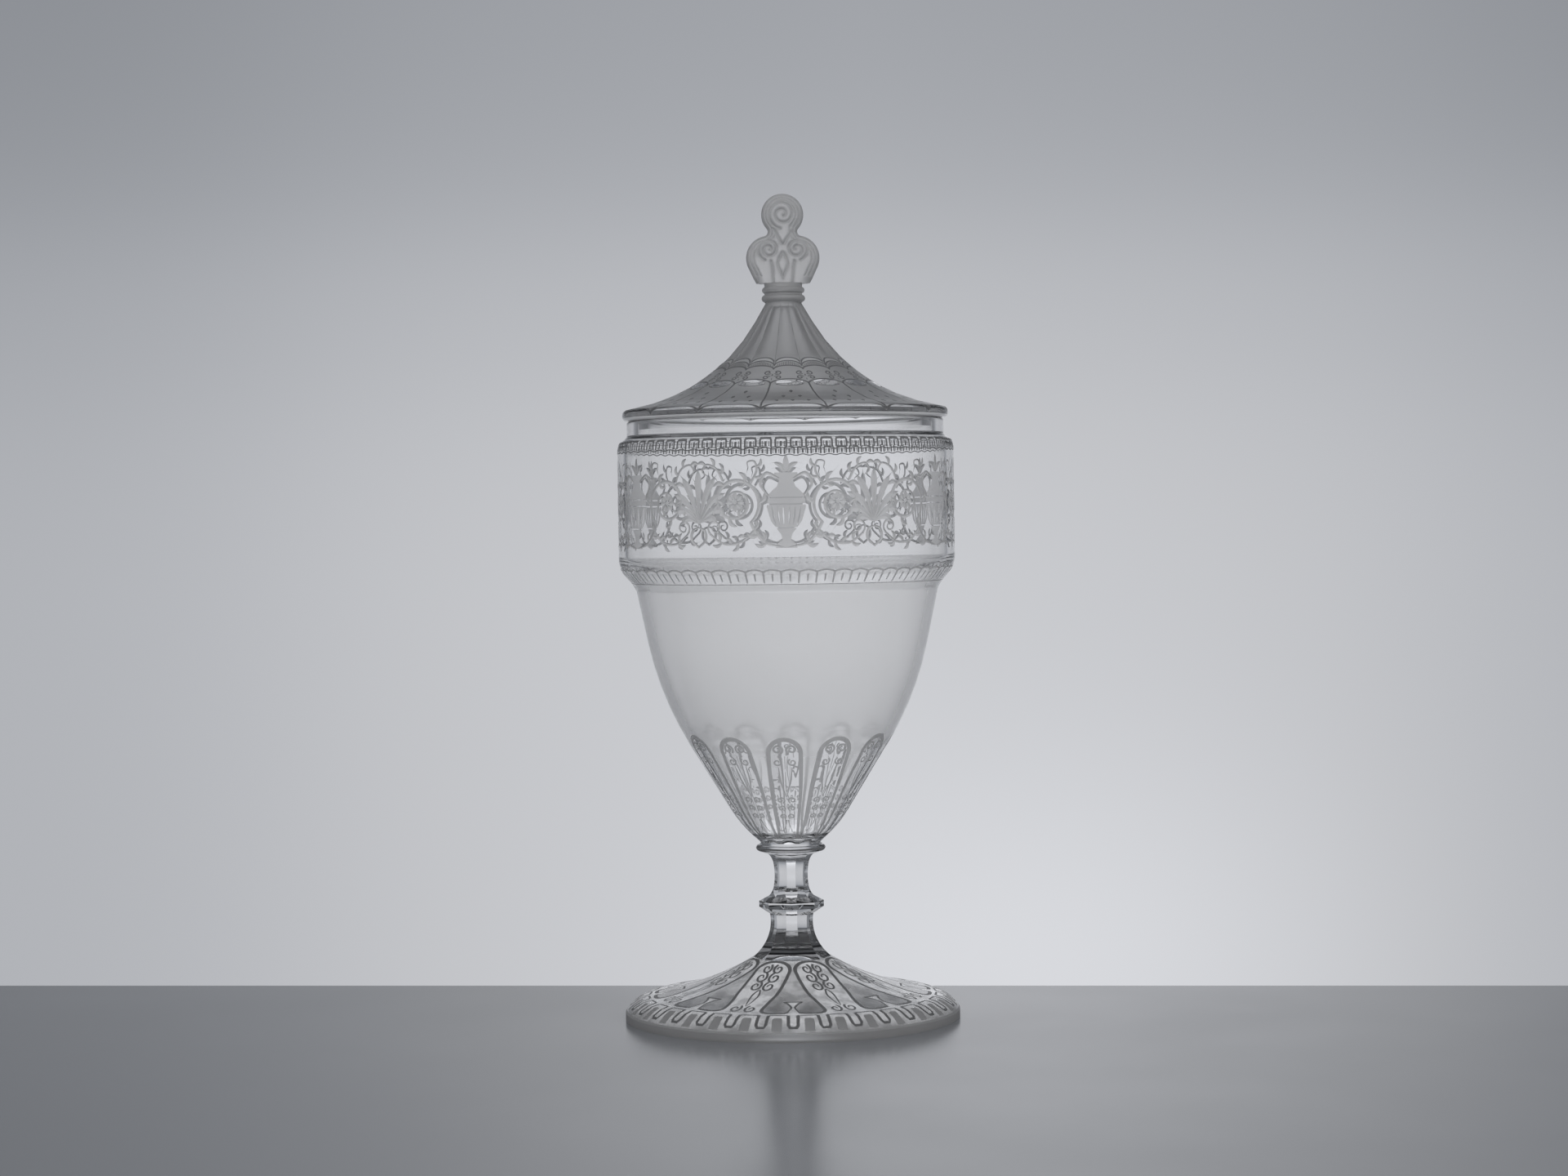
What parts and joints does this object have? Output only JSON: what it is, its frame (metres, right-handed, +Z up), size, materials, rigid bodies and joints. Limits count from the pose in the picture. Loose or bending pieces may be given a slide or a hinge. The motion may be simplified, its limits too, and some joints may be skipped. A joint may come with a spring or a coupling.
{
  "type": "covered goblet",
  "caption": "Tall covered goblet of cut and engraved glass: bell foot, knopped octagonal stem, bowl with a drum-shaped top and cut lappets, lift-off tent-shaped cover with a carved finial.",
  "frame": {"origin": "centre of the foot's underside, on the table", "axes": "+Z up along the goblet's axis, -Y the front that the finial's flat face looks to"},
  "size_m": [0.1504, 0.1504, 0.3686],
  "materials": {
    "cut_glass": "clear polished glass with matte engraving",
    "bowl_glass": "clear glass above, satin below, engraved",
    "matte_glass": "matte ground glass with a polished rim"
  },
  "bodies": {
    "goblet": {"foot": "cut_glass", "lower_stem": "cut_glass", "knop": "cut_glass", "upper_stem": "cut_glass", "merese": "cut_glass", "bowl": "bowl_glass"},
    "lid": {"cover": "matte_glass", "collar": "matte_glass", "finial": "matte_glass"}
  },
  "joints": [
    {"name": "cover_lift", "type": "slide", "parent": "goblet", "child": "lid", "axis": [0, 0, 1], "range_m": [0, 0.08]}
  ]
}
